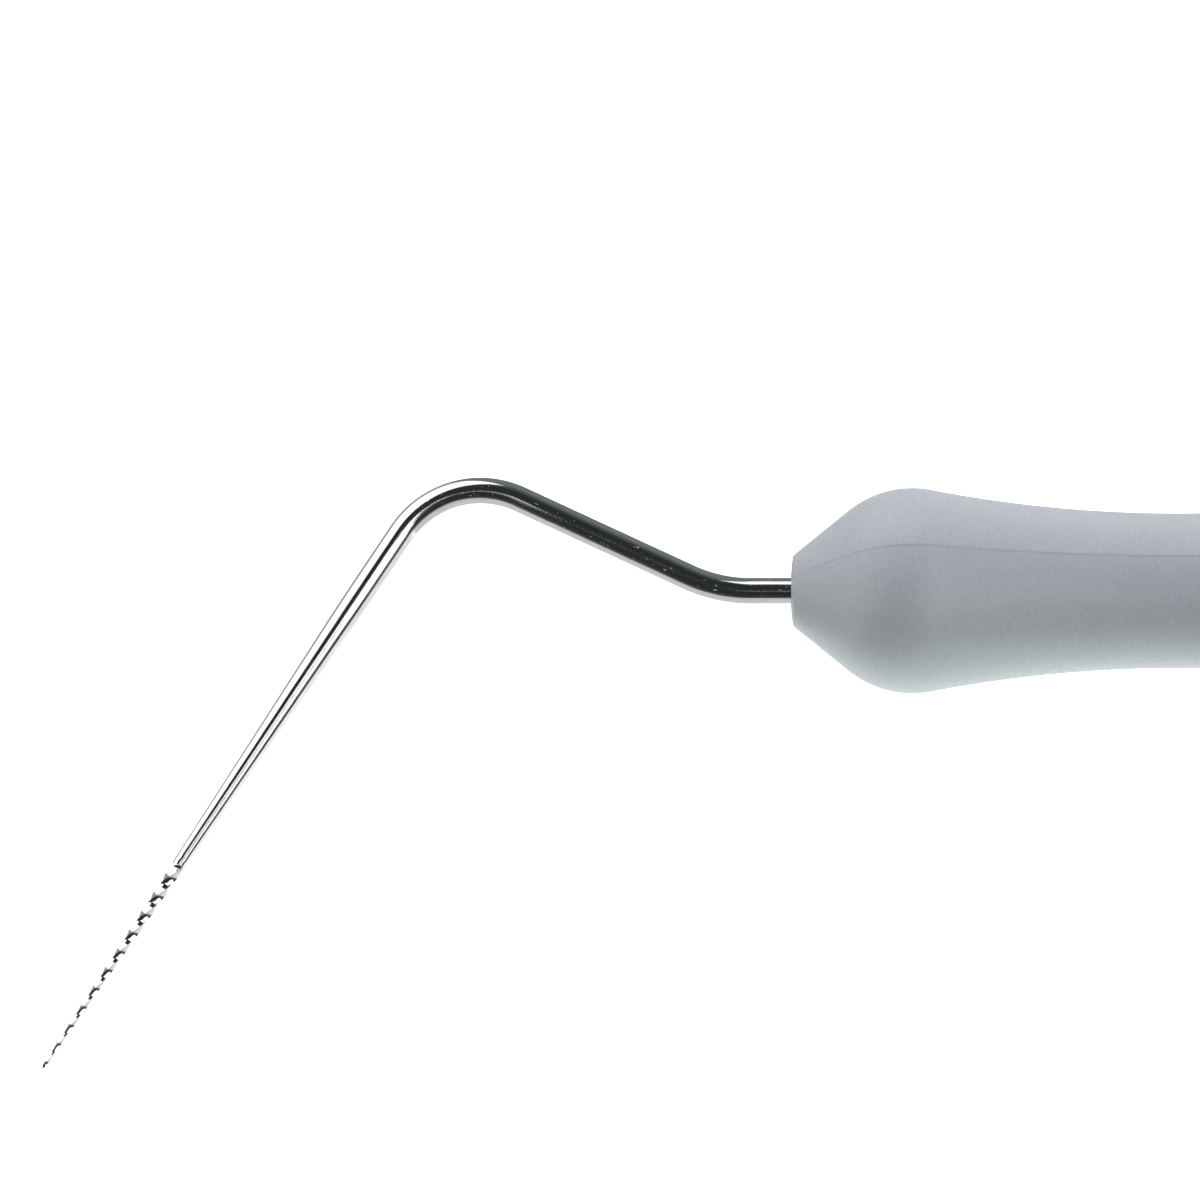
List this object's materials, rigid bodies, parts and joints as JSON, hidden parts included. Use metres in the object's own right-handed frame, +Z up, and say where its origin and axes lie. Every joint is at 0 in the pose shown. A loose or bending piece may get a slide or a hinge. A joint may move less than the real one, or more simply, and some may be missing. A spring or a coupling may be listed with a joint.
{
  "type": "endodontic file",
  "caption": "Hand-held endodontic file: a twisted, tapered steel tip on an offset wire shank, bonded into a long moulded handle with a finger bulb.",
  "frame": {"origin": "centre of the bounding box, on the table that the file lies on", "axes": "+X along the handle towards its tail, +Y to the side that the shank rises to, +Z up"},
  "size_m": [0.139, 0.022, 0.0079],
  "materials": {
    "steel": "bright drawn stainless wire, finely ground taper",
    "handle_plastic": "moulded, satin",
    "resin": "cured, smooth",
    "ink": "pad-printed, matte"
  },
  "bodies": {
    "root": {"steel_file": "steel", "handle": "handle_plastic", "bonding_resin": "resin", "type_symbol": "ink", "type_marking": "ink", "size_marking": "ink", "taper_marking": "ink"}
  },
  "joints": []
}
